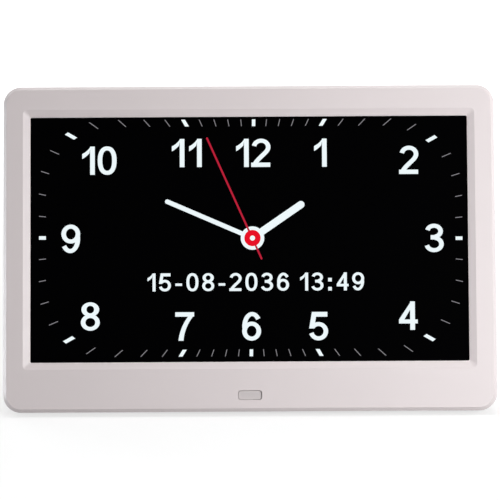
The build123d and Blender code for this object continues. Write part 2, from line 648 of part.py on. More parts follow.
with BuildPart() as rear_cover:
    with BuildSketch(behind(BEZEL_DEPTH)):
        outline(SIDE_DRAFT + SEAM_CHAMFER)
    with BuildSketch(behind(BEZEL_DEPTH + SEAM_CHAMFER)):
        outline(SIDE_DRAFT + SEAM_CHAMFER * tan(lean))
    with BuildSketch(behind(housing_depth)):
        outline(SIDE_DRAFT + cover_taper)
    loft(ruled=True)
    fillet(rear_cover.faces().sort_by(to_back)[-1].edges(), REAR_EDGE_RADIUS)
    add(cover_hollow.part, mode=Mode.SUBTRACT)

    # Tabs that locate the cover inside the top and bottom walls of the bezel
    with BuildSketch(behind(BEZEL_DEPTH + TAB_ROOT)):
        with Locations(*tab_points):
            Rectangle(TAB_LENGTH, TAB_THICKNESS)
    extrude(amount=TAB_ROOT + TAB_REACH)

    # Recess for the leg, with a scoop each side for a finger, and the holes for its hinge pin
    with BuildSketch(behind(housing_depth)):
        with Locations((0, (recess_bottom + recess_top) / 2)):
            Rectangle(2 * recess_half, recess_top - recess_bottom)
    extrude(amount=housing_depth - recess_floor, mode=Mode.SUBTRACT)
    with BuildSketch(behind(housing_depth)):
        with Locations(*scoop_points):
            Circle(SCOOP_RADIUS)
    extrude(amount=SCOOP_DEPTH, mode=Mode.SUBTRACT)
    with BuildSketch(side_plane(0, HINGE_RISE, hinge_depth)):
        Circle(PIN_RADIUS + PIN_GAP)
    extrude(amount=recess_half + WALL, both=True, mode=Mode.SUBTRACT)

    # Screw wells in the posts, and pilot holes in the standoffs
    with BuildSketch(behind(housing_depth)):
        with Locations(*screw_points):
            Circle(WELL_RADIUS)
    extrude(amount=COVER_DEPTH - SCREW_SEAT, mode=Mode.SUBTRACT)
    with BuildSketch(behind(BEZEL_DEPTH + SCREW_SEAT)):
        with Locations(*screw_points):
            Circle(SCREW_SHANK + SLIP_GAP)
    extrude(amount=SCREW_SEAT, mode=Mode.SUBTRACT)
    with BuildSketch(behind(board_back)):
        with Locations(*board_points):
            Circle(SMALL_SHANK + RUNNING_GAP)
    extrude(amount=-SMALL_SCREW_LENGTH, mode=Mode.SUBTRACT)
    with BuildSketch(behind(switch_front)):
        with Locations(*key_points):
            Circle(SMALL_SHANK + RUNNING_GAP)
    extrude(amount=-SMALL_SCREW_LENGTH, mode=Mode.SUBTRACT)
    with BuildSketch(behind(flange_back)):
        with Locations(*speaker_points):
            Circle(SMALL_SHANK + RUNNING_GAP)
    extrude(amount=-(SMALL_SCREW_LENGTH - SPEAKER_FLANGE), mode=Mode.SUBTRACT)

    # Holes through the back: keys, wall screw and speaker slots
    with BuildSketch(behind(housing_depth)):
        with Locations(*[(x, key_rise) for x in key_xs]):
            Circle(KEY_RADIUS + KEY_GAP)
        with Locations((0, keyhole_rise)):
            Circle(KEYHOLE_RADIUS)
        with Locations((0, keyhole_rise + KEYHOLE_RUN / 2)):
            Rectangle(KEYHOLE_SLOT, KEYHOLE_RUN)
        with Locations((0, keyhole_rise + KEYHOLE_RUN)):
            Circle(KEYHOLE_SLOT / 2)
        for i in range(GRILLE_SLOTS):
            along = (i - (GRILLE_SLOTS - 1) / 2) * GRILLE_PITCH
            with Locations((speaker_x + along, SPEAKER_RISE)):
                SlotOverall(2 * sqrt(GRILLE_RADIUS**2 - along**2), GRILLE_SLOT, rotation=90)
    extrude(amount=WALL, mode=Mode.SUBTRACT)

    # Hole in the right side for the power plug
    with BuildSketch(side_plane(jack_face, jack_rise, jack_axis)):
        Circle(JACK_HOLE)
    extrude(amount=housing_width / 2 - jack_face, mode=Mode.SUBTRACT)

    # Level pockets in the lower wall for the rubber pads
    with BuildSketch(Plane.XY):
        with Locations(*pad_points):
            RectangleRounded(PAD_LENGTH + 2 * SLIP_GAP, PAD_WIDTH + 2 * SLIP_GAP, PAD_CORNER)
    extrude(amount=PAD_THICKNESS, mode=Mode.SUBTRACT)
save(rear_cover, "rear_cover")

with BuildPart() as bottom_pads:
    with BuildSketch(Plane.XY):
        with Locations(*pad_points):
            RectangleRounded(PAD_LENGTH, PAD_WIDTH, PAD_CORNER)
    extrude(amount=PAD_THICKNESS)
save(bottom_pads, "bottom_pads")

# Housing screws: cross-head screws in wells, through the posts of the cover into the bezel
with BuildPart() as housing_screws:
    with BuildSketch(behind(BEZEL_DEPTH + SCREW_SEAT + SCREW_HEAD_HEIGHT)):
        with Locations(*screw_points):
            Circle(SCREW_HEAD)
    extrude(amount=SCREW_HEAD_HEIGHT)
    with BuildSketch(behind(BEZEL_DEPTH + SCREW_SEAT)):
        with Locations(*screw_points):
            Circle(SCREW_SHANK)
    extrude(amount=SCREW_LENGTH)
    with BuildSketch(behind(BEZEL_DEPTH + SCREW_SEAT + SCREW_HEAD_HEIGHT)):
        with Locations(*screw_points):
            Rectangle(DRIVE_SLOT_LENGTH, DRIVE_SLOT_WIDTH)
            Rectangle(DRIVE_SLOT_WIDTH, DRIVE_SLOT_LENGTH)
    extrude(amount=DRIVE_SLOT_DEPTH, mode=Mode.SUBTRACT)
save(housing_screws, "housing_screws")

# Folding leg: a ribbed moulding turned on a steel pin, with a heel that stops it when it is out
foot_start = leg_length - FOOT_LENGTH
with BuildPart() as stand_leg:
    with BuildSketch(leg_side):
        with Locations((foot_start / 2, nose_offset)):
            Rectangle(foot_start, LEG_THICKNESS)
        Circle(barrel_radius)
        Polygon(
            (-heel_radius * sin(swing), -heel_radius * cos(swing)),
            (0, leg_front),
            (0, leg_rear),
            (-heel_top, leg_rear),
            (-heel_top, heel_front),
            align=None,
        )
        Circle(PIN_RADIUS + RUNNING_GAP, mode=Mode.SUBTRACT)
    extrude(amount=LEG_WIDTH / 2, both=True)
    fillet(stand_leg.faces().sort_by(Axis(hinge_point, leg_back))[-1].edges(), LEG_EDGE_RADIUS)
    with BuildSketch(leg_side):
        with Locations((foot_start + TONGUE_LENGTH / 2, nose_offset)):
            Rectangle(TONGUE_LENGTH, TONGUE_THICKNESS)
    extrude(amount=LEG_WIDTH / 2 - 2 * FOOT_SIDE, both=True)
    pocket_start = heel_radius + LEG_RIM
    pocket_end = foot_start - LEG_RIM
    pocket_pitch_x = (LEG_WIDTH - 2 * LEG_RIM + LEG_RIB) / LEG_POCKETS_ACROSS
    pocket_pitch_y = (pocket_end - pocket_start + LEG_RIB) / LEG_POCKETS_ALONG
    with BuildSketch(leg_face.offset(leg_front)):
        with Locations((0, (pocket_start + pocket_end) / 2)):
            with GridLocations(pocket_pitch_x, pocket_pitch_y, LEG_POCKETS_ACROSS, LEG_POCKETS_ALONG):
                Rectangle(pocket_pitch_x - LEG_RIB, pocket_pitch_y - LEG_RIB)
    extrude(amount=LEG_THICKNESS - LEG_SKIN, mode=Mode.SUBTRACT)
save(stand_leg, "stand_leg")

with BuildPart() as stand_foot:
    with BuildSketch(leg_side):
        with Locations((foot_start + FOOT_LENGTH / 2, nose_offset)):
            Rectangle(FOOT_LENGTH, LEG_THICKNESS)
        with Locations((leg_length, nose_offset)):
            Circle(nose_radius)
    extrude(amount=LEG_WIDTH / 2 - FOOT_SIDE, both=True)
    with BuildSketch(leg_side):
        with Locations((foot_start + TONGUE_LENGTH / 2, nose_offset)):
            Rectangle(TONGUE_LENGTH + 2 * RUNNING_GAP, TONGUE_THICKNESS + 2 * RUNNING_GAP)
    extrude(amount=LEG_WIDTH / 2 - 2 * FOOT_SIDE + RUNNING_GAP, both=True, mode=Mode.SUBTRACT)
save(stand_foot, "stand_foot")

with BuildPart() as stand_hinge_pin:
    with BuildSketch(side_plane(0, HINGE_RISE, hinge_depth)):
        Circle(PIN_RADIUS)
    extrude(amount=recess_half + WALL, both=True)
save(stand_hinge_pin, "stand_hinge_pin")

# Main board on four standoffs of the cover, with its parts on the rear side
with BuildPart() as main_board:
    with BuildSketch(behind(board_back)):
        with Locations((board_x, board_rise)):
            Rectangle(board_width, board_top - board_bottom)
        with Locations(*board_points):
            Circle(SMALL_SHANK + SLIP_GAP, mode=Mode.SUBTRACT)
    extrude(amount=BOARD_THICKNESS)
save(main_board, "main_board")
small_screws("board_screws", board_points, board_front, False)

memory_x = board_x + MEMORY_SHIFT
chip_rise = board_rise - CHIP_DROP
with BuildPart() as board_chips:
    with BuildSketch(behind(board_back)):
        with Locations((board_x + CHIP_SHIFT, chip_rise)):
            Rectangle(CHIP_SIDE, CHIP_SIDE)
    extrude(amount=-CHIP_THICKNESS)
    with BuildSketch(behind(board_back)):
        with Locations((memory_x, chip_rise), (memory_x + MEMORY_PITCH, chip_rise)):
            Rectangle(MEMORY_WIDTH, MEMORY_HEIGHT)
    extrude(amount=-MEMORY_THICKNESS)
save(board_chips, "board_chips")

capacitor_xs = [board_x + CAPACITOR_SHIFT + i * CAPACITOR_PITCH for i in range(CAPACITOR_COUNT)]
with BuildPart() as board_capacitors:
    with BuildSketch(behind(board_back)):
        with Locations(*[(x, board_rise + CAPACITOR_LIFT) for x in capacitor_xs]):
            Circle(CAPACITOR_RADIUS)
    extrude(amount=-CAPACITOR_HEIGHT)
save(board_capacitors, "board_capacitors")

cell_x = board_left + CELL_SIDE_GAP + CELL_RADIUS
cell_rise = board_rise + CELL_LIFT
with BuildPart() as coin_cell_holder:
    with BuildSketch(behind(board_back)):
        with Locations((cell_x, cell_rise)):
            Circle(CELL_RADIUS + HOLDER_WALL)
    extrude(amount=-HOLDER_HEIGHT)
    with BuildSketch(behind(board_back + HOLDER_FLOOR)):
        with Locations((cell_x, cell_rise)):
            Circle(CELL_RADIUS + SLIP_GAP)
    extrude(amount=-HOLDER_HEIGHT, mode=Mode.SUBTRACT)
save(coin_cell_holder, "coin_cell_holder")

with BuildPart() as coin_cell:
    with BuildSketch(behind(board_back + HOLDER_FLOOR)):
        with Locations((cell_x, cell_rise)):
            Circle(CELL_RADIUS)
    extrude(amount=-CELL_THICKNESS)
save(coin_cell, "coin_cell")

# Power inlet: a moulded body on the board, its mouth behind the hole in the side, with a centre pin
with BuildPart() as dc_jack:
    with BuildSketch(behind(board_back)):
        with Locations((jack_face - JACK_LENGTH / 2, jack_rise)):
            Rectangle(JACK_LENGTH, JACK_WIDTH)
    extrude(amount=-JACK_HEIGHT)
    with BuildSketch(side_plane(jack_face, jack_rise, jack_axis)):
        Circle(JACK_BORE)
    extrude(amount=-JACK_BORE_DEPTH, mode=Mode.SUBTRACT)
save(dc_jack, "dc_jack")

with BuildPart() as dc_jack_pin:
    with BuildSketch(side_plane(jack_face - JACK_BORE_DEPTH, jack_rise, jack_axis)):
        Circle(JACK_PIN)
    extrude(amount=JACK_PIN_LENGTH)
save(dc_jack_pin, "dc_jack_pin")

# Keys: caps in holes of the back, each on the plunger of a switch on the key board
with BuildPart() as key_board:
    with BuildSketch(behind(switch_front)):
        with Locations((key_board_x, key_rise)):
            Rectangle(2 * key_board_half, KEY_BOARD_HEIGHT)
        with Locations(*key_points):
            Circle(SMALL_SHANK + SLIP_GAP, mode=Mode.SUBTRACT)
    extrude(amount=BOARD_THICKNESS)
save(key_board, "key_board")
small_screws("key_board_screws", key_points, key_board_front, False)

with BuildPart() as tact_switches:
    with BuildSketch(behind(switch_front)):
        with Locations(*[(x, key_rise) for x in key_xs]):
            Rectangle(SWITCH_SIDE, SWITCH_SIDE)
    extrude(amount=-SWITCH_HEIGHT)
    with BuildSketch(behind(switch_back)):
        with Locations(*[(x, key_rise) for x in key_xs]):
            Circle(PLUNGER_RADIUS + SLIP_GAP)
    extrude(amount=PLUNGER_SINK + KEY_TRAVEL + SWITCH_CLEARANCE, mode=Mode.SUBTRACT)
save(tact_switches, "tact_switches")

for key_name, key_x in zip(("power", "menu", "down", "up", "back", "ok"), key_xs):
    with BuildPart() as cap:
        with BuildSketch(behind(key_flange_front)):
            with Locations((key_x, key_rise)):
                Circle(KEY_RADIUS + KEY_FLANGE)
        extrude(amount=-KEY_FLANGE_THICKNESS)
        with BuildSketch(behind(key_flange_front)):
            with Locations((key_x, key_rise)):
                Circle(KEY_RADIUS)
        extrude(amount=-(housing_depth + KEY_PROUD - key_flange_front))
        fillet(cap.faces().sort_by(to_back)[-1].edges(), KEY_EDGE_RADIUS)
    save(cap, f"{key_name}_button")
    with BuildPart() as plunger:
        with BuildSketch(behind(switch_back - PLUNGER_SINK)):
            with Locations((key_x, key_rise)):
                Circle(PLUNGER_RADIUS)
        extrude(amount=-(PLUNGER_SINK + PLUNGER_PROUD))
    save(plunger, f"{key_name}_plunger")

# Speaker: pressed basket, paper cone, magnet and a foam ring against the back
with BuildPart() as speaker_basket:
    with BuildSketch(behind(flange_back)):
        with Locations((speaker_x, SPEAKER_RISE)):
            RectangleRounded(SPEAKER_SIDE, SPEAKER_SIDE, SPEAKER_CORNER)
        with Locations(*speaker_points):
            Circle(SMALL_SHANK + SLIP_GAP, mode=Mode.SUBTRACT)
    extrude(amount=SPEAKER_FLANGE)
    with BuildSketch(turning_plane(speaker_x, SPEAKER_RISE)):
        with BuildLine():
            Polyline(
                (0, basket_front),
                (SPEAKER_BACK, basket_front),
                (SPEAKER_MOUTH + SPEAKER_SHEET, flange_front),
                (0, flange_front),
                close=True,
            )
        make_face()
    revolve(axis=Axis(point(speaker_x, SPEAKER_RISE, 0), -face.z_dir))
    with BuildSketch(turning_plane(speaker_x, SPEAKER_RISE)):
        with BuildLine():
            Polyline(
                (0, basket_front + SPEAKER_SHEET),
                (SPEAKER_BACK - SPEAKER_SHEET, basket_front + SPEAKER_SHEET),
                (SPEAKER_MOUTH, flange_front),
                (SPEAKER_MOUTH, flange_back),
                (0, flange_back),
                close=True,
            )
        make_face()
    revolve(axis=Axis(point(speaker_x, SPEAKER_RISE, 0), -face.z_dir), mode=Mode.SUBTRACT)
save(speaker_basket, "speaker_basket")

with BuildPart() as speaker_cone:
    with BuildSketch(turning_plane(speaker_x, SPEAKER_RISE)):
        neck_depth = basket_front + 2 * SPEAKER_SHEET
        rim_radius = SPEAKER_MOUTH - SLIP_GAP
        with BuildLine():
            Polyline(
                (0, neck_depth),
                (CONE_NECK, neck_depth),
                (rim_radius - SPEAKER_SHEET, flange_front + SPEAKER_SHEET),
                (rim_radius, flange_front + SPEAKER_SHEET),
                (rim_radius, flange_front + SPEAKER_SHEET + CONE_SHEET),
                (rim_radius - 2 * SPEAKER_SHEET, flange_front + SPEAKER_SHEET + CONE_SHEET),
                (CONE_NECK, neck_depth + 2 * CONE_SHEET),
                (CONE_NECK / 2, neck_depth + 4 * CONE_SHEET),
                (0, neck_depth + 4 * CONE_SHEET),
                close=True,
            )
        make_face()
    revolve(axis=Axis(point(speaker_x, SPEAKER_RISE, 0), -face.z_dir))
save(speaker_cone, "speaker_cone")

with BuildPart() as speaker_magnet:
    with BuildSketch(behind(basket_front)):
        with Locations((speaker_x, SPEAKER_RISE)):
            Circle(SPEAKER_BACK - SPEAKER_SHEET)
    extrude(amount=MAGNET_HEIGHT)
save(speaker_magnet, "speaker_magnet")

with BuildPart() as speaker_gasket:
    with BuildSketch(behind(back_wall)):
        with Locations((speaker_x, SPEAKER_RISE)):
            Circle(SPEAKER_MOUTH + SPEAKER_GASKET_WIDTH)
            Circle(SPEAKER_MOUTH, mode=Mode.SUBTRACT)
    extrude(amount=SPEAKER_GASKET)
save(speaker_gasket, "speaker_gasket")
small_screws("speaker_screws", speaker_points, flange_front, False)

# Leads and ribbons between the boards
board_middle = (board_front + board_back) / 2
flange_edge = speaker_x + SPEAKER_SIDE / 2
flange_middle = (flange_front + flange_back) / 2
lead(
    "speaker_lead",
    [
        (flange_edge, SPEAKER_RISE, flange_middle),
        (flange_edge + SPEAKER_LEAD_RUN, SPEAKER_RISE, flange_middle),
        (flange_edge + SPEAKER_LEAD_RUN + SPEAKER_LEAD_SLOPE, SPEAKER_RISE, board_middle),
        (0, board_rise + SPEAKER_LEAD_LIFT, board_middle),
        (board_left, board_rise + SPEAKER_LEAD_LIFT, board_middle),
    ],
)
ir_lead_x = board_left + 2 * BOARD_SCREW_INSET
lead(
    "ir_lead",
    [
        (IR_LEAD_START, IR_RISE, IR_BOARD_DEPTH + IR_BOARD_THICKNESS),
        (IR_LEAD_START, IR_RISE, board_middle),
        (IR_LEAD_TURN, board_bottom - IR_LEAD_TURN, board_middle),
        (ir_lead_x, board_bottom - IR_LEAD_END, board_middle),
        (ir_lead_x, board_bottom, board_middle),
    ],
)
driver_middle = panel_back + DRIVER_THICKNESS / 2
ribbon_x = DRIVER_WIDTH / 2 - RIBBON_WIDTH / 2 - RIBBON_INSET
ribbon(
    "panel_ribbon",
    RIBBON_WIDTH,
    [
        (ribbon_x, driver_top, driver_middle),
        (ribbon_x, driver_top + RIBBON_RUN, driver_middle),
        (ribbon_x, board_bottom - RIBBON_RUN, board_middle),
        (ribbon_x, board_bottom, board_middle),
    ],
)
key_board_middle = (key_board_front + switch_front) / 2
ribbon(
    "key_ribbon",
    KEY_RIBBON_WIDTH,
    [
        (key_board_x, key_board_bottom, key_board_middle),
        (key_board_x, key_board_bottom - KEY_RIBBON_RUN, key_board_middle),
        (key_board_x, board_top + KEY_RIBBON_RUN, board_middle),
        (key_board_x, board_top, board_middle),
    ],
)
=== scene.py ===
import bpy
import numpy as np
from math import cos, pi, radians, sin
from mathutils import Matrix, Vector


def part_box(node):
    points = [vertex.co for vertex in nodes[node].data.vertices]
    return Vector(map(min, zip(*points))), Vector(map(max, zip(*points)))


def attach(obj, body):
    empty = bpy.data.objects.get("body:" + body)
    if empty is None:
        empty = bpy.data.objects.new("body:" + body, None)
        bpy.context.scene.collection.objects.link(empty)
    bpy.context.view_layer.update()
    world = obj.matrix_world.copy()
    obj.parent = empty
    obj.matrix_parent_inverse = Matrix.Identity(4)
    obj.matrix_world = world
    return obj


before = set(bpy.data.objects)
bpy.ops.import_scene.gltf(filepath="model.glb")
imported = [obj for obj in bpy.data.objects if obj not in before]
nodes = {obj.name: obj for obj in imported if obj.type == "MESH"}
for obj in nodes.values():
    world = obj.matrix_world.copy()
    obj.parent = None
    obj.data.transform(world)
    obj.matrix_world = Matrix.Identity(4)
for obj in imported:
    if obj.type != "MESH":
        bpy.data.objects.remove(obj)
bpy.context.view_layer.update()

# Front bezel: one moulding in pinkish-white ABS with a satin skin.
# Its outer edge is chamfered, and a bevel runs down to the screen on all four sides.
# The skin is a fine spark-eroded grain with faint flow tones, the same on every moulded piece.
FLOW_SCALE = 16.0
HANDLED_SCALE = 90.0
HANDLED_SPREAD = 0.06
GRAIN_STRENGTH = 0.6
EDGE_SAMPLES = 6


def new_group(name, inputs):
    """A node group with these inputs and three outputs, and the nodes at its two ends."""
    group = bpy.data.node_groups.new(name, "ShaderNodeTree")
    for socket, kind, value in inputs:
        group.interface.new_socket(socket, in_out="INPUT", socket_type=kind).default_value = value
    for socket in ("Roughness", "Height"):
        group.interface.new_socket(socket, in_out="OUTPUT", socket_type="NodeSocketFloat")
    group.interface.new_socket("Color", in_out="OUTPUT", socket_type="NodeSocketColor")
    return group, group.nodes.new("NodeGroupInput"), group.nodes.new("NodeGroupOutput")


def set_inputs(tree, node, inputs):
    """Sets inputs of a node to values, or links them to sockets."""
    for name, value in inputs.items():
        if isinstance(value, bpy.types.NodeSocket):
            tree.links.new(value, node.inputs[name])
        else:
            node.inputs[name].default_value = value


def add_node(tree, kind, inputs=None, **settings):
    """One shader node with its settings and inputs."""
    node = tree.nodes.new(kind)
    for name, value in settings.items():
        setattr(node, name, value)
    set_inputs(tree, node, inputs or {})
    return node


def add_place(tree):
    """The place on a piece, in metres in the piece's own axes."""
    return tree.nodes.new("ShaderNodeTexCoord").outputs["Object"]


def add_noise(tree, place, scale, detail=2.0):
    """The value of a noise of the given scale, in patches a metre, at a place."""
    inputs = {"Vector": place, "Scale": scale, "Detail": detail}
    return add_node(tree, "ShaderNodeTexNoise", inputs).outputs["Fac"]


def add_range(tree, value, low, high, start=0.0, stop=1.0, curve="LINEAR"):
    """A value that runs from start to stop, spread between low and high and held there beyond them."""
    inputs = {"Value": value, "From Min": start, "From Max": stop, "To Min": low, "To Max": high}
    return add_node(tree, "ShaderNodeMapRange", inputs, interpolation_type=curve).outputs["Result"]


def add_math(tree, operation, first, second):
    """Two values joined by one operation."""
    return add_node(tree, "ShaderNodeMath", {0: first, 1: second}, operation=operation).outputs[0]


def add_gain(tree, color, gain):
    """A colour times a value."""
    inputs = {0: color, "Scale": gain}
    return add_node(tree, "ShaderNodeVectorMath", inputs, operation="SCALE").outputs["Vector"]


moulded_skin, skin_in, skin_out = new_group("moulded_skin", (
    ("Color", "NodeSocketColor", (0.8, 0.8, 0.8, 1.0)),
    ("Tone", "NodeSocketFloat", 0.05),
    ("Roughness", "NodeSocketFloat", 0.4),
    ("Grain Scale", "NodeSocketFloat", 3000.0),
))
skin_place = add_place(moulded_skin)
flow = add_range(moulded_skin, add_noise(moulded_skin, skin_place, FLOW_SCALE), -1.0, 1.0)
flow_tone = add_math(moulded_skin, "MULTIPLY", flow, skin_in.outputs["Tone"])
flow_gain = add_math(moulded_skin, "ADD", flow_tone, 1.0)
touch = add_noise(moulded_skin, skin_place, HANDLED_SCALE, detail=4.0)
handled = add_range(moulded_skin, touch, -HANDLED_SPREAD, HANDLED_SPREAD)
set_inputs(moulded_skin, skin_out, {
    "Color": add_gain(moulded_skin, skin_in.outputs["Color"], flow_gain),
    "Roughness": add_math(moulded_skin, "ADD", skin_in.outputs["Roughness"], handled),
    "Height": add_noise(moulded_skin, skin_place, skin_in.outputs["Grain Scale"]),
})


def new_material(name):
    """An empty node material, its shader and its tree."""
    material = bpy.data.materials.new(name)
    material.use_nodes = True
    return material, material.node_tree.nodes["Principled BSDF"], material.node_tree


def moulded(name, color, roughness, tone=0.02, grain_scale=3000.0, grain_depth=0.00002, edge=None):
    """Moulded plastic: the shared skin on a plain shader, with its sharp edges broken by a small radius
    where an edge is given.
    """
    material, shader, tree = new_material(name)
    inputs = {"Color": (*color, 1.0), "Tone": tone, "Roughness": roughness, "Grain Scale": grain_scale}
    skin = add_node(tree, "ShaderNodeGroup", inputs, node_tree=moulded_skin)
    bump_inputs = {"Height": skin.outputs["Height"], "Distance": grain_depth, "Strength": GRAIN_STRENGTH}
    bump = add_node(tree, "ShaderNodeBump", bump_inputs)
    if edge:
        broken = add_node(tree, "ShaderNodeBevel", {"Radius": edge}, samples=EDGE_SAMPLES)
        set_inputs(tree, bump, {"Normal": broken.outputs["Normal"]})
    set_inputs(tree, shader, {
        "Base Color": skin.outputs["Color"],
        "Roughness": skin.outputs["Roughness"],
        "Normal": bump.outputs["Normal"],
    })
    return material


def dress(material, *names):
    """Gives CAD nodes a material in every slot."""
    for name in names:
        for slot in nodes[name].material_slots:
            slot.material = material


bezel_plastic = moulded("bezel_plastic", (0.70, 0.636, 0.642), 0.42, edge=0.00012)
dress(bezel_plastic, "front_bezel")

# Remote window: a flanged moulding in grey translucent plastic, pressed in from behind the bezel.
# It stands just below the face, with a polished front.
window_smoke = moulded("window_smoke", (0.605, 0.56, 0.56), 0.22, tone=0.04, grain_depth=0.000004)
dress(window_smoke, "ir_window")

# Screen: an LCD behind anti-glare glass, black where it shows nothing.
# The glass is etched, so it scatters a reflection instead of mirroring it.
ETCH_SCALE = 9000.0
ETCH_DEPTH = 0.000004
ETCH_STRENGTH = 0.4
FILM_SCALE = 30.0
GLASS_SPECULAR = 0.004


def add_blend(tree, factor, first, second):
    """A colour between two, by a factor from 0 to 1. A mix node has its colours at inputs 6 and 7."""
    inputs = {"Factor": factor, 6: (*first, 1.0), 7: (*second, 1.0)}
    return add_node(tree, "ShaderNodeMix", inputs, data_type="RGBA").outputs[2]


screen_glass, screen_shader, screen_tree = new_material("screen_glass")
screen_place = add_place(screen_tree)
etch = add_noise(screen_tree, screen_place, ETCH_SCALE, detail=1.0)
etch_inputs = {"Height": etch, "Distance": ETCH_DEPTH, "Strength": ETCH_STRENGTH}
etch_bump = add_node(screen_tree, "ShaderNodeBump", etch_inputs)
film_tone = add_noise(screen_tree, screen_place, FILM_SCALE)
set_inputs(screen_tree, screen_shader, {
    "Base Color": add_blend(screen_tree, film_tone, (0.0002, 0.0002, 0.0003), (0.0004, 0.0004, 0.0006)),
    "Roughness": add_range(screen_tree, film_tone, 0.42, 0.5),
    "Normal": etch_bump.outputs["Normal"],
    "Specular IOR Level": GLASS_SPECULAR,
})
dress(screen_glass, "lcd_glass")

# Dial shown on the screen: ticks, numbers, date and hands, as lit pixels on the front of the glass.
# Each is a thin plate on the glass, in millimetres from the middle of the screen, right and up.
LEAN = radians(18)
GLASS_THICKNESS = 1.2
GLASS_TO_SCREEN = 4.75
PLATE = 0.03
PIXEL_PITCH = 0.000116
PIXEL_LEVELS = (0.94, 1.06)
face_up = np.array([0.0, sin(LEAN), cos(LEAN)])
face_out = np.array([0.0, -cos(LEAN), sin(LEAN)])
glass_low, glass_high = (np.array(corner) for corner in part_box("lcd_glass"))
glass_middle = (glass_low + glass_high) / 2
screen_middle = glass_middle + (GLASS_TO_SCREEN * face_up + GLASS_THICKNESS / 2 * face_out) / 1000


def plates(name, strips, material, middle, right, up, height):
    """One mesh of thin plates on a plane through middle: each strip is two edge lines with as many points.
    The front and back span the two lines, and walls close the rim, or both rims of a closed strip."""
    out = np.cross(right, up)
    points = []
    faces = []
    first = 0
    for left, far in strips:
        closed = np.allclose(left[0], left[-1])
        count = len(left) - closed
        flat = np.concatenate([left[:count], far[:count]]) / 1000
        level = middle + flat[:, :1] * right + flat[:, 1:] * up
        points.append(np.concatenate([level + height / 1000 * out, level]))
        here = np.arange(count if closed else count - 1)
        after = (here + 1) % count
        a, b = here, after
        c, d = count + here, count + after
        back = 2 * count
        quads = [
            np.stack([a, c, d, b], axis=1),
            np.stack([a, b, d, c], axis=1) + back,
            np.stack([a, b, b + back, a + back], axis=1),
            np.stack([d, c, c + back, d + back], axis=1),
        ]
        if not closed:
            last = count - 1
            tail = [0, back, count + back, count]
            nose = [last, count + last, count + last + back, last + back]
            quads.append(np.array([tail, nose]))
        faces.append(np.concatenate(quads) + first)
        first += 4 * count
    mesh = bpy.data.meshes.new(name)
    mesh.from_pydata(np.concatenate(points).tolist(), [], np.concatenate(faces).tolist())
    mesh.materials.append(material)
    piece = bpy.data.objects.new(name, mesh)
    bpy.context.collection.objects.link(piece)
    return piece


def on_screen(name, strips, material, height=PLATE):
    """Plates on the front of the glass that ride with the housing."""
    piece = plates(name, strips, material, screen_middle, np.array([1.0, 0.0, 0.0]), face_up, height)
    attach(piece, "housing")
    return piece


def add_bands(tree, place, axis, pitch):
    """Waves along an axis, one to a pitch: at scale 1 the texture's phase grows by 20 radians a metre."""
    inputs = {"Vector": place, "Scale": pi / 10 / pitch}
    return add_node(tree, "ShaderNodeTexWave", inputs, bands_direction=axis).outputs["Fac"]


def lit(name, color):
    """Lit pixels: a black surface that glows, through a fine grid of dark lines between the pixels."""
    material, shader, tree = new_material(name)
    turned = add_node(tree, "ShaderNodeMapping", {"Vector": add_place(tree), "Rotation": (LEAN, 0.0, 0.0)})
    columns = add_bands(tree, turned.outputs["Vector"], "X", PIXEL_PITCH)
    rows = add_bands(tree, turned.outputs["Vector"], "Z", PIXEL_PITCH)
    grid = add_math(tree, "MULTIPLY", columns, rows)
    dim, bright = ([level * c for c in color] for level in PIXEL_LEVELS)
    set_inputs(tree, shader, {
        "Emission Color": add_blend(tree, grid, dim, bright),
        "Emission Strength": 1.0,
        "Base Color": (0.002, 0.002, 0.002, 1.0),
        "Roughness": 0.45,
        "Specular IOR Level": GLASS_SPECULAR,
    })
    return material


white_pixels = lit("white_pixels", (0.88, 0.97, 1.0))
grey_pixels = lit("grey_pixels", (0.26, 0.25, 0.27))
red_pixels = lit("red_pixels", (0.5, 0.014, 0.04))
hub_red_pixels = lit("hub_red_pixels", (0.82, 0.003, 0.018))

# Minute and hour ticks: bars that point at the hub, cut off by two rounded rectangles.
# Both rectangles have the same corner radii, so the bars grow longer in the corners.
# The rays are turned, spread sideways and sheared a little, as the image on the screen is.
HUB = np.array([1.65, 0.5])
IMAGE_TURN = radians(0.36)
IMAGE_STRETCH = 1.029
IMAGE_SHEAR = 0.0087
TRACK_MIDDLE = np.array([0.75, 0.85])
TRACK_HALF = np.array([107.8, 60.6])
TRACK_DEPTH = 3.5
LEFT_CORNERS = 34.4
RIGHT_CORNERS = 37.6
BEYOND_TRACK = 200.0
HALVINGS = 40
HOUR_TICK_WIDTH = 1.74
MINUTE_TICK_WIDTH = 0.36


def reach(starts, ways, half):
    """Points where lines from starts along ways leave a rounded rectangle, found by halving:
    a point is inside where its distance past the inner corner square is less than the corner radius."""
    corner = np.where(ways[:, 0] < 0, LEFT_CORNERS, RIGHT_CORNERS)
    near = np.zeros(len(starts))
    far = np.full(len(starts), BEYOND_TRACK)
    for _ in range(HALVINGS):
        middle = (near + far) / 2
        past = np.abs(starts + middle[:, None] * ways - TRACK_MIDDLE) - half + corner[:, None]
        outside = np.hypot(*np.maximum(past, 0.0).T) + np.minimum(past.max(axis=1), 0.0) > corner
        near = np.where(outside, near, middle)
        far = np.where(outside, middle, far)
    return starts + near[:, None] * ways


def ticks(minutes, width):
    """Bars at these minutes: each side is a line beside the ray from the hub, between the two rectangles."""
    turn = np.radians(6.0 * minutes) + IMAGE_TURN
    ways = np.stack([IMAGE_STRETCH * np.sin(turn) + IMAGE_SHEAR * np.cos(turn), np.cos(turn)], axis=1)
    aside = np.stack([-ways[:, 1], ways[:, 0]], axis=1) * width / 2
    halves = (TRACK_HALF - TRACK_DEPTH, TRACK_HALF)
    sides = [np.stack([reach(HUB + s * aside, ways, half) for half in halves], axis=1) for s in (1, -1)]
    return list(zip(*sides))


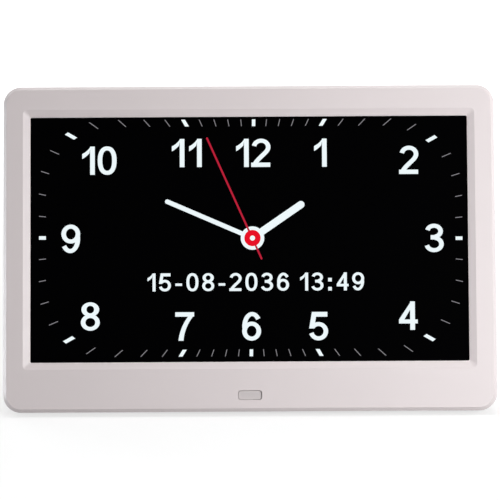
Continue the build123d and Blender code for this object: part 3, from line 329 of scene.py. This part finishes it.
minutes = np.arange(60)
on_screen("hour_ticks", ticks(minutes[minutes % 5 == 0], HOUR_TICK_WIDTH), white_pixels)
on_screen("minute_ticks", ticks(minutes[minutes % 5 != 0], MINUTE_TICK_WIDTH), grey_pixels)

# Numbers: plain bold figures, drawn with a pen that is wider on upright strokes than on level ones.
# A figure is one unit high, from its foot at 0 to its top at 1, and about 0.7 wide.
# The numbers stand in columns and rows that lean a little.
STEM = 0.16
BAR = 0.142
ARC_POINTS = 28
BEND_POINTS = 20
RING_POINTS = 49


def arc(x, y, radius_x, radius_y, start, stop):
    """Points of an ellipse about x, y between two angles in degrees, anticlockwise from the right."""
    turn = np.radians(np.linspace(start, stop, ARC_POINTS))
    return np.stack([x + radius_x * np.cos(turn), y + radius_y * np.sin(turn)], axis=1)


def bend(*points):
    """Points of the curve that three or four control points pull: a quadratic or cubic Bezier curve."""
    t = np.linspace(0.0, 1.0, BEND_POINTS)[:, None]
    line = [np.array(p, dtype=float) + 0 * t for p in points]
    while len(line) > 1:
        line = [(1 - t) * a + t * b for a, b in zip(line, line[1:])]
    return line[0]


def pen(*runs):
    """The edge lines of one stroke along runs of points: the path moved aside by half the pen's width."""
    path = np.concatenate(runs)
    along = np.gradient(path, axis=0)
    along /= np.linalg.norm(along, axis=1, keepdims=True)
    aside = np.stack([-along[:, 1], along[:, 0]], axis=1)
    half = np.hypot(STEM * aside[:, :1], BAR * aside[:, 1:]) / 2
    return path + half * aside, path - half * aside


def bar(x0, y0, x1, y1):
    """A level rectangle as two upright edge lines."""
    return np.array([[x0, y0], [x0, y1]]), np.array([[x1, y0], [x1, y1]])


def ring(x, y, radius_x, radius_y, stem=STEM, level=BAR, power=2.0):
    """A closed band about x, y: two superellipses, half a pen's width inside and outside the radii."""
    turn = np.linspace(0.0, 2 * pi, RING_POINTS)
    wave = np.stack([np.cos(turn), np.sin(turn)], axis=1)
    loop = np.sign(wave) * np.abs(wave) ** (2 / power)
    loop[-1] = loop[0]
    radii = np.array([radius_x, radius_y])
    half = np.array([stem, level]) / 2
    return np.array([x, y]) + (radii - half) * loop, np.array([x, y]) + (radii + half) * loop


six = [ring(0.352, 0.33, 0.25, 0.262), pen(arc(0.372, 0.5, 0.266, 0.431, 36, 197))]
six_corner = np.array([0.704, 1.0])
figures = {
    "0": [ring(0.35, 0.5, 0.252, 0.432, power=2.3)],
    "1": [(bend((0, 0.738), (0.18, 0.82), (0.295, 1.0)), bend((0, 0.562), (0.12, 0.62), (0.255, 0.765))),
          bar(0.278, 0, 0.443, 1)],
    "2": [pen(arc(0.352, 0.705, 0.25, 0.225, 170, -28),
              bend((0.571, 0.598), (0.5, 0.47), (0.2, 0.27), (0.125, 0.09))[1:]),
          bar(0, 0, 0.67, 0.154)],
    "3": [pen(arc(0.335, 0.738, 0.232, 0.193, 168, -82)), bar(0.215, 0.445, 0.42, 0.6),
          pen(arc(0.335, 0.286, 0.258, 0.217, 84, -168))],
    "4": [bar(0.432, 0, 0.6, 1), bar(0.04, 0.226, 0.695, 0.365),
          (np.array([[0.04, 0.363], [0.465, 1.0]]), np.array([[0.225, 0.363], [0.56, 0.92]]))],
    "5": [bar(0.14, 0.832, 0.655, 1),
          (np.array([[0.015, 0.42], [0.115, 1.0]]), np.array([[0.19, 0.42], [0.285, 1.0]])),
          pen(arc(0.342, 0.322, 0.256, 0.252, 142, -166))],
    "6": six,
    "7": [bar(0.03, 0.845, 0.69, 1),
          (bend((0.14, 0), (0.19, 0.46), (0.495, 0.87)), bend((0.315, 0), (0.35, 0.48), (0.69, 0.9)))],
    "8": [ring(0.35, 0.742, 0.222, 0.194, stem=0.178, level=0.122),
          ring(0.35, 0.288, 0.252, 0.223, level=0.13)],
    "9": [(six_corner - left, six_corner - far) for left, far in six],
    "-": [bar(0.05, 0.3, 0.42, 0.435)],
    ":": [bar(0.06, 0.0, 0.26, 0.2), bar(0.06, 0.5, 0.26, 0.7)],
    " ": [],
}
FIGURE_WIDTH = 0.7
figure_widths = {"1": 0.443, "-": 0.47, ":": 0.32, " ": 0.25}


def figure_line(text, x, y, height, gap):
    """Figures in a row, their middle at x, y, each one gap from the next."""
    widths = np.array([figure_widths.get(sign, FIGURE_WIDTH) for sign in text])
    starts = np.concatenate([[0.0], np.cumsum(widths + gap)[:-1]])
    corner = np.array([x, y]) - height / 2 * np.array([starts[-1] + widths[-1], 1.0])
    return [
        tuple(corner + height * (edge + np.array([start, 0.0])) for edge in strip)
        for sign, start in zip(text, starts)
        for strip in figures[sign]
    ]


NUMBER_HEIGHT = 14.5
NUMBER_GAP = 0.085
WIDE_GAP = 0.165
NUMBER_SHEAR = 0.017
NUMBER_TILT = -0.003
COLUMN_MIDDLE = 1.7
INNER_COLUMN = 34.1
RIGHT_COLUMN = 79.3
LEFT_COLUMN = 82.0
SIDE_COLUMN = 92.6
TEN_SHIFT = 3.5
TOP_ROW = 44.2
UPPER_ROW = 40.4
LEVEL_ROW = 0.33
LOWER_ROW = -39.3
BOTTOM_ROW = -44.53
number_grid = {
    12: (0.0, TOP_ROW),
    1: (INNER_COLUMN, TOP_ROW),
    2: (RIGHT_COLUMN, UPPER_ROW),
    3: (SIDE_COLUMN, LEVEL_ROW),
    4: (RIGHT_COLUMN, LOWER_ROW),
    5: (INNER_COLUMN, BOTTOM_ROW),
    6: (0.0, BOTTOM_ROW),
    7: (-INNER_COLUMN, BOTTOM_ROW),
    8: (-LEFT_COLUMN, LOWER_ROW),
    9: (-SIDE_COLUMN, LEVEL_ROW),
    10: (TEN_SHIFT - LEFT_COLUMN, UPPER_ROW),
    11: (-INNER_COLUMN, TOP_ROW),
}


def number_place(column, row):
    """The middle of a number: its column leans with its row, and its row falls with its column."""
    return COLUMN_MIDDLE + column + NUMBER_SHEAR * row, row + NUMBER_TILT * column


numbers = [
    figure_line(str(n), *number_place(*place), NUMBER_HEIGHT, WIDE_GAP if n == 11 else NUMBER_GAP)
    for n, place in number_grid.items()
]
on_screen("dial_numbers", sum(numbers, []), white_pixels)

# Date and time: one row of plain figures below the hub, lit like the numbers.
# The clock's chip draws them with the rest of the image.
DATE_MIDDLE = (3.3, -21.9)
DATE_HEIGHT = 9.2
DATE_GAP = 0.173
date_figures = figure_line("15-08-2036 13:49", *DATE_MIDDLE, DATE_HEIGHT, DATE_GAP)
on_screen("date_line", date_figures, white_pixels)

# Hands: bars with round ends from the hub, a red second hand over them and a three-ring hub.
# They are part of the image, so they don't turn. Each layer is a little higher than the one under it.
MINUTE_TIP = (-41.7, 19.4)
HOUR_TIP = (26.4, 17.5)
SECOND_TAIL = (6.2, -10.0)
SECOND_TIP = (-21.3, 51.8)
MINUTE_WIDTH = 2.3
HOUR_WIDTH = 3.7
SECOND_WIDTH = 0.96
END_WIDTH = 0.002
HALF_END_POINTS = 10
HUB_RADIUS = 6.0
HUB_DISC_RADIUS = 4.15
HUB_CENTRE_RADIUS = 1.3
HAND_LAYER = 0.05
HUB_LAYER = 0.06
SECOND_LAYER = 0.08
HUB_DISC_LAYER = 0.09
HUB_CENTRE_LAYER = 0.1


def hand(start, end, width):
    """A bar with round ends between two points, as edge lines that follow a half circle at each end."""
    start, end = np.array(start), np.array(end)
    way = (end - start) / np.linalg.norm(end - start)
    aside = np.array([-way[1], way[0]])
    turn = np.linspace(0.0, pi / 2, HALF_END_POINTS)[:, None]
    tail = start - width / 2 * np.cos(turn) * way
    nose = end + width / 2 * np.sin(turn) * way
    spread = width / 2 * np.concatenate([np.sin(turn), np.cos(turn)]) * aside
    spread[[0, -1]] = END_WIDTH * aside
    path = np.concatenate([tail, nose])
    return path + spread, path - spread


def disc(radius, hole=0.01):
    """A round band about the hub."""
    return ring(*HUB, (radius + hole) / 2, (radius + hole) / 2, radius - hole, radius - hole)


on_screen("minute_hand", [hand(HUB, MINUTE_TIP, MINUTE_WIDTH)], white_pixels, HAND_LAYER)
on_screen("hour_hand", [hand(HUB, HOUR_TIP, HOUR_WIDTH)], white_pixels, HAND_LAYER)
on_screen("hub_ring", [disc(HUB_RADIUS)], white_pixels, HUB_LAYER)
on_screen("second_hand", [hand(SECOND_TAIL, SECOND_TIP, SECOND_WIDTH)], red_pixels, SECOND_LAYER)
on_screen("hub_disc", [disc(HUB_DISC_RADIUS)], hub_red_pixels, HUB_DISC_LAYER)
on_screen("hub_centre", [disc(HUB_CENTRE_RADIUS)], white_pixels, HUB_CENTRE_LAYER)

# Screen module behind the glass: a pressed steel frame and tray, and milky optical sheets between them.
# None of it shows while the clock is closed.
MARK_SCALE = 1500.0
MARK_SPREAD = 0.1
BLOOM_SCALE = 200.0
worked_metal, metal_in, metal_out = new_group("worked_metal", (
    ("Color", "NodeSocketColor", (0.6, 0.6, 0.6, 1.0)),
    ("Roughness", "NodeSocketFloat", 0.35),
    ("Stretch", "NodeSocketVector", (1.0, 1.0, 1.0)),
))
metal_place = add_place(worked_metal)
stretch_inputs = {"Vector": metal_place, "Scale": metal_in.outputs["Stretch"]}
drawn = add_node(worked_metal, "ShaderNodeMapping", stretch_inputs)
marks = add_noise(worked_metal, drawn.outputs["Vector"], MARK_SCALE, detail=4.0)
mark_range = add_range(worked_metal, marks, -MARK_SPREAD, MARK_SPREAD)
bloom = add_range(worked_metal, add_noise(worked_metal, metal_place, BLOOM_SCALE), 0.86, 1.1)
set_inputs(worked_metal, metal_out, {
    "Color": add_gain(worked_metal, metal_in.outputs["Color"], bloom),
    "Roughness": add_math(worked_metal, "ADD", metal_in.outputs["Roughness"], mark_range),
    "Height": marks,
})


def metal(name, color, roughness, stretch=(1.0, 1.0, 1.0), depth=0.000004):
    """Bare metal with marks of its working, drawn out along the axis that is stretched."""
    material, shader, tree = new_material(name)
    inputs = {"Color": (*color, 1.0), "Roughness": roughness, "Stretch": stretch}
    work = add_node(tree, "ShaderNodeGroup", inputs, node_tree=worked_metal)
    bump = add_node(tree, "ShaderNodeBump", {"Height": work.outputs["Height"], "Distance": depth})
    set_inputs(tree, shader, {
        "Base Color": work.outputs["Color"],
        "Roughness": work.outputs["Roughness"],
        "Normal": bump.outputs["Normal"],
        "Metallic": 1.0,
    })
    return material


panel_steel = metal("panel_steel", (0.62, 0.62, 0.63), 0.36, stretch=(0.05, 1.0, 1.0))
dress(panel_steel, "lcd_frame", "backlight_tray", "panel_clips")
optical_plastic = moulded("optical_plastic", (0.85, 0.86, 0.87), 0.2, grain_depth=0.000003)
dress(optical_plastic, "diffuser_sheet", "light_guide", "reflector_sheet")
foam_black = moulded("foam_black", (0.02, 0.02, 0.02), 0.9, tone=0.3, grain_scale=1600.0, grain_depth=0.0003)
dress(foam_black, "panel_gasket", "speaker_gasket")

# Circuit boards: green solder resist over copper, with traces as faint raised lines.
# Chips, cans and the cell are soldered or clipped to the rear of the main board.
TRACE_SCALE = 420.0
TRACE_DEPTH = 0.00003
TRACE_EDGE = (0.42, 0.5)
circuit_board, board_shader, board_tree = new_material("circuit_board")
trace_cells = {"Vector": add_place(board_tree), "Scale": TRACE_SCALE}
traces = add_node(board_tree, "ShaderNodeTexVoronoi", trace_cells, distance="MANHATTAN")
trace_mask = add_range(board_tree, traces.outputs["Distance"], 0.0, 1.0, *TRACE_EDGE)
trace_bump = add_node(board_tree, "ShaderNodeBump", {"Height": trace_mask, "Distance": TRACE_DEPTH})
set_inputs(board_tree, board_shader, {
    "Base Color": add_blend(board_tree, trace_mask, (0.012, 0.11, 0.035), (0.03, 0.2, 0.07)),
    "Roughness": add_range(board_tree, trace_mask, 0.42, 0.28),
    "Normal": trace_bump.outputs["Normal"],
})
dress(circuit_board, "main_board", "key_board", "ir_board", "panel_driver_board", "led_strip")
chip_black = moulded("chip_black", (0.016, 0.016, 0.017), 0.55, tone=0.2, grain_scale=6000.0)
dress(chip_black, "board_chips", "ir_receiver")
dress(metal("capacitor_can", (0.74, 0.74, 0.75), 0.3), "board_capacitors")
dress(metal("cell_steel", (0.68, 0.68, 0.67), 0.28, stretch=(1.0, 0.06, 0.06)), "coin_cell")

# Leads and flat cables inside: dark PVC jackets, and white film with its conductors as fine stripes.
# Each ends on the two parts that it joins.
CONDUCTOR_PITCH = 0.001
dress(moulded("lead_jacket", (0.03, 0.03, 0.032), 0.6, tone=0.1), "speaker_lead", "ir_lead")
ribbon_film, ribbon_shader, ribbon_tree = new_material("ribbon_film")
conductors = add_bands(ribbon_tree, add_place(ribbon_tree), "X", CONDUCTOR_PITCH)
set_inputs(ribbon_tree, ribbon_shader, {
    "Base Color": add_blend(ribbon_tree, conductors, (0.78, 0.78, 0.75), (0.55, 0.56, 0.55)),
    "Roughness": add_range(ribbon_tree, conductors, 0.3, 0.42),
})
dress(ribbon_film, "panel_ribbon", "key_ribbon")

# Speaker behind the slots of the back: a pressed steel basket, a magnet and a black paper cone.
# Screws hold its basket to posts of the cover, with a foam gasket between.
dress(metal("speaker_steel", (0.33, 0.33, 0.34), 0.45), "speaker_basket", "speaker_magnet")
speaker_paper = moulded("speaker_paper", (0.025, 0.025, 0.026), 0.85,
                        tone=0.25, grain_scale=2200.0, grain_depth=0.00015)
dress(speaker_paper, "speaker_cone")

# Rear cover: a moulding like the bezel with a coarser skin, so that finger marks don't show.
# Eight screws in wells hold it to the bezel.
cover_plastic = moulded("cover_plastic", (0.69, 0.63, 0.636), 0.55,
                        grain_scale=1500.0, grain_depth=0.0003, edge=0.0003)
dress(cover_plastic, "rear_cover")
screw_steel = metal("screw_steel", (0.5, 0.5, 0.51), 0.32)
dress(screw_steel, "housing_screws", "panel_clip_screws", "ir_board_screws", "board_screws",
      "key_board_screws", "speaker_screws", "stand_hinge_pin")

# Power inlet in the right side: a black moulded socket with a turned brass pin.
# The key switches and the cell holder inside are the same black plastic.
switch_plastic = moulded("switch_plastic", (0.02, 0.02, 0.021), 0.45, tone=0.1)
dress(switch_plastic, "dc_jack", "tact_switches", "coin_cell_holder",
      *[f"{name}_plunger" for name in ("power", "menu", "down", "up", "back", "ok")])
dress(metal("inlet_brass", (0.75, 0.56, 0.27), 0.25, stretch=(0.1, 1.0, 1.0)), "dc_jack_pin")

# Keys: six caps in a row on the back, in a slightly darker plastic, each on a switch.
# A mark printed on each cap says what it does, in millimetres from the middle of the cap.
key_plastic = moulded("key_plastic", (0.55, 0.515, 0.52), 0.38, edge=0.0002)
key_ink = moulded("key_ink", (0.05, 0.05, 0.055), 0.5, tone=0.2)
MARK_PEN = 0.42
MARK_RADIUS = 1.35
MARK_HEIGHT = 0.04
MARK_POINTS = 32
TOP_TOLERANCE = 0.00001
SEEN_RIGHT = np.array([-1.0, 0.0, 0.0])


def mark_line(*points):
    """A straight run of the mark's pen between two points."""
    return hand(*points, MARK_PEN)


def mark_arc(start, stop):
    """A part of a circle drawn with the mark's pen, between two angles."""
    turn = np.radians(np.linspace(start, stop, MARK_POINTS))
    way = np.stack([np.cos(turn), np.sin(turn)], axis=1)
    return way * (MARK_RADIUS - MARK_PEN / 2), way * (MARK_RADIUS + MARK_PEN / 2)


key_marks = {
    "power": [mark_arc(125, 415), mark_line((0, 0.35), (0, 1.75))],
    "menu": [mark_line((-1.25, level), (1.25, level)) for level in (-0.95, 0.0, 0.95)],
    "down": [mark_line((-1.25, 0.6), (0, -0.7)), mark_line((0, -0.7), (1.25, 0.6))],
    "up": [mark_line((-1.25, -0.6), (0, 0.7)), mark_line((0, 0.7), (1.25, -0.6))],
    "back": [mark_line((0.6, 1.25), (-0.7, 0)), mark_line((-0.7, 0), (0.6, -1.25))],
    "ok": [mark_line((-1.2, 0.0), (-0.3, -0.95)), mark_line((-0.3, -0.95), (1.3, 0.95))],
}
for key_name, strips in key_marks.items():
    dress(key_plastic, f"{key_name}_button")
    cap = nodes[f"{key_name}_button"].data
    corners = np.empty(3 * len(cap.vertices))
    cap.vertices.foreach_get("co", corners)
    corners = corners.reshape(-1, 3)
    behind = corners @ -face_out
    top = corners[behind > behind.max() - TOP_TOLERANCE]
    middle = (top.min(axis=0) + top.max(axis=0)) / 2
    mark = plates(f"{key_name}_mark", strips, key_ink, middle, SEEN_RIGHT, face_up, MARK_HEIGHT)
    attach(mark, f"{key_name}_key")

# Folding leg: a ribbed moulding that turns on a steel pin, with a rubber foot on a tongue at its end.
# Two rubber pads under the housing keep it from sliding.
leg_plastic = moulded("leg_plastic", (0.68, 0.622, 0.628), 0.5,
                      grain_scale=1800.0, grain_depth=0.00025, edge=0.0003)
dress(leg_plastic, "stand_leg")
foot_rubber = moulded("foot_rubber", (0.035, 0.035, 0.036), 0.75,
                      tone=0.25, grain_scale=2500.0, grain_depth=0.00006)
dress(foot_rubber, "stand_foot", "bottom_pads")

# Stage: a white sweep of paper that rises behind the clock, soft light and the camera.
# The paper glows white with painted light for rays from the camera. The glow is weaker near the clock, so
# the floor is darker around it, where the clock's real shadow also falls.
SWEEP_HALF_WIDTH = 4.0
SWEEP_FRONT = -4.0
SWEEP_BEND = 1.6
SWEEP_RADIUS = 0.8
SWEEP_TOP = 4.0
SWEEP_STEPS = 24
sweep_turn = np.linspace(0.0, pi / 2, SWEEP_STEPS)
sweep_rise = np.stack([SWEEP_BEND + SWEEP_RADIUS * np.sin(sweep_turn),
                       SWEEP_RADIUS - SWEEP_RADIUS * np.cos(sweep_turn)], axis=1)
sweep_line = np.concatenate([[[SWEEP_FRONT, 0.0]], sweep_rise, [[SWEEP_BEND + SWEEP_RADIUS, SWEEP_TOP]]])
sweep_points = np.concatenate([
    np.stack([np.full(len(sweep_line), x), sweep_line[:, 0], sweep_line[:, 1]], axis=1)
    for x in (-SWEEP_HALF_WIDTH, SWEEP_HALF_WIDTH)
])
sweep_from = np.arange(len(sweep_line) - 1)
sweep_across = sweep_from + len(sweep_line)
sweep_faces = np.stack([sweep_from, sweep_across, sweep_across + 1, sweep_from + 1], axis=1)
sweep_mesh = bpy.data.meshes.new("paper_sweep")
sweep_mesh.from_pydata(sweep_points.tolist(), [], sweep_faces.tolist())
paper_sweep = bpy.data.objects.new("paper_sweep", sweep_mesh)
bpy.context.collection.objects.link(paper_sweep)

PAPER_TONE = (0.38, 0.38, 0.38, 1.0)
WHITE = (1.0, 1.0, 1.0, 1.0)
PAINTED_GLOW_NEAR = 0.66
PAINTED_GLOW_FAR = 0.97
PAINTED_GLOW_START = 0.15
PAINTED_GLOW_STOP = 0.9
SKY_LIGHT = 0.1


def add_seen(tree):
    """1 for a ray from the camera, a mirror or through glass, and 0 for one that only carries light."""
    path = tree.nodes.new("ShaderNodeLightPath")
    seen = path.outputs["Is Camera Ray"]
    for ray in ("Is Glossy Ray", "Is Transmission Ray"):
        seen = add_math(tree, "MAXIMUM", seen, path.outputs[ray])
    return seen


paper = bpy.data.materials.new("paper")
paper.use_nodes = True
paper_tree = paper.node_tree
paper_tree.nodes.clear()
# Painted light: a white glow seen only by camera, mirror and glass rays. It is weakest within 0.15 m of the
# clock's place and full from 0.9 m, which adds painted shade around the clock.
away = add_node(paper_tree, "ShaderNodeVectorMath", {0: add_place(paper_tree)}, operation="LENGTH")
painted_glow_fade = add_range(paper_tree, away.outputs["Value"], PAINTED_GLOW_NEAR, PAINTED_GLOW_FAR,
                       PAINTED_GLOW_START, PAINTED_GLOW_STOP, "SMOOTHSTEP")
painted_glow = add_math(paper_tree, "MULTIPLY", add_seen(paper_tree), painted_glow_fade)
paper_diffuse = add_node(paper_tree, "ShaderNodeBsdfDiffuse", {"Color": PAPER_TONE})
paper_glow = add_node(paper_tree, "ShaderNodeEmission", {"Color": WHITE, "Strength": painted_glow})
paper_inputs = {0: paper_diffuse.outputs[0], 1: paper_glow.outputs[0]}
paper_both = add_node(paper_tree, "ShaderNodeAddShader", paper_inputs)
add_node(paper_tree, "ShaderNodeOutputMaterial", {"Surface": paper_both.outputs[0]})
sweep_mesh.materials.append(paper)

world = bpy.data.worlds.new("studio")
bpy.context.scene.world = world
world.use_nodes = True
world_tree = world.node_tree
sky_strength = add_range(world_tree, add_seen(world_tree), SKY_LIGHT, 1.0)
set_inputs(world_tree, world_tree.nodes["Background"], {"Color": WHITE, "Strength": sky_strength})

CLOCK_MIDDLE = (0.0, 0.0, 0.08)


def soft_box(name, place, size, power, aim=CLOCK_MIDDLE, color=(1.0, 1.0, 1.0)):
    """A square area light at a place, turned to an aim."""
    light = bpy.data.lights.new(name, "AREA")
    light.shape = "SQUARE"
    light.size = size
    light.energy = power
    light.color = color
    box = bpy.data.objects.new(name, light)
    box.location = place
    box.rotation_euler = (Vector(aim) - Vector(place)).to_track_quat("-Z", "Y").to_euler()
    bpy.context.collection.objects.link(box)


soft_box("key_light", place=(0.41, -0.59, 0.24), size=0.3, power=4.38, aim=(0.05, 0.0, 0.09))
soft_box("left_light", place=(-1.1, 0.02, 0.05), size=0.16, power=6.7, color=(0.93, 0.97, 1.0))
soft_box("right_light", place=(1.0, 0.5, 0.12), size=0.5, power=5.5)
soft_box("top_light", place=(0.1, 0.25, 1.45), size=0.8, power=11.0)
soft_box("rear_light", place=(-0.9, 1.2, 0.7), size=0.8, power=6.5)

TARGET = Vector((0.0003375, -0.000023, 0.0777885))
CAMERA_DISTANCE = 1.70097
CAMERA_LENS = 239.29
CAMERA_PAN = 0.0725
CAMERA_FALL = 12.565
CAMERA_ROLL = -0.337
CAMERA_RANGE = 20.0
camera_turn = (
    Matrix.Rotation(radians(CAMERA_PAN), 4, "Z")
    @ Matrix.Rotation(radians(90 - CAMERA_FALL), 4, "X")
    @ Matrix.Rotation(radians(CAMERA_ROLL), 4, "Z")
)
camera_data = bpy.data.cameras.new("camera")
camera_data.lens = CAMERA_LENS
camera_data.clip_end = CAMERA_RANGE
camera = bpy.data.objects.new("camera", camera_data)
bpy.context.collection.objects.link(camera)
camera_back = camera_turn.to_3x3() @ Vector((0.0, 0.0, CAMERA_DISTANCE))
camera.matrix_world = Matrix.Translation(TARGET + camera_back) @ camera_turn
bpy.context.scene.camera = camera
bpy.context.scene.view_settings.view_transform = "Standard"
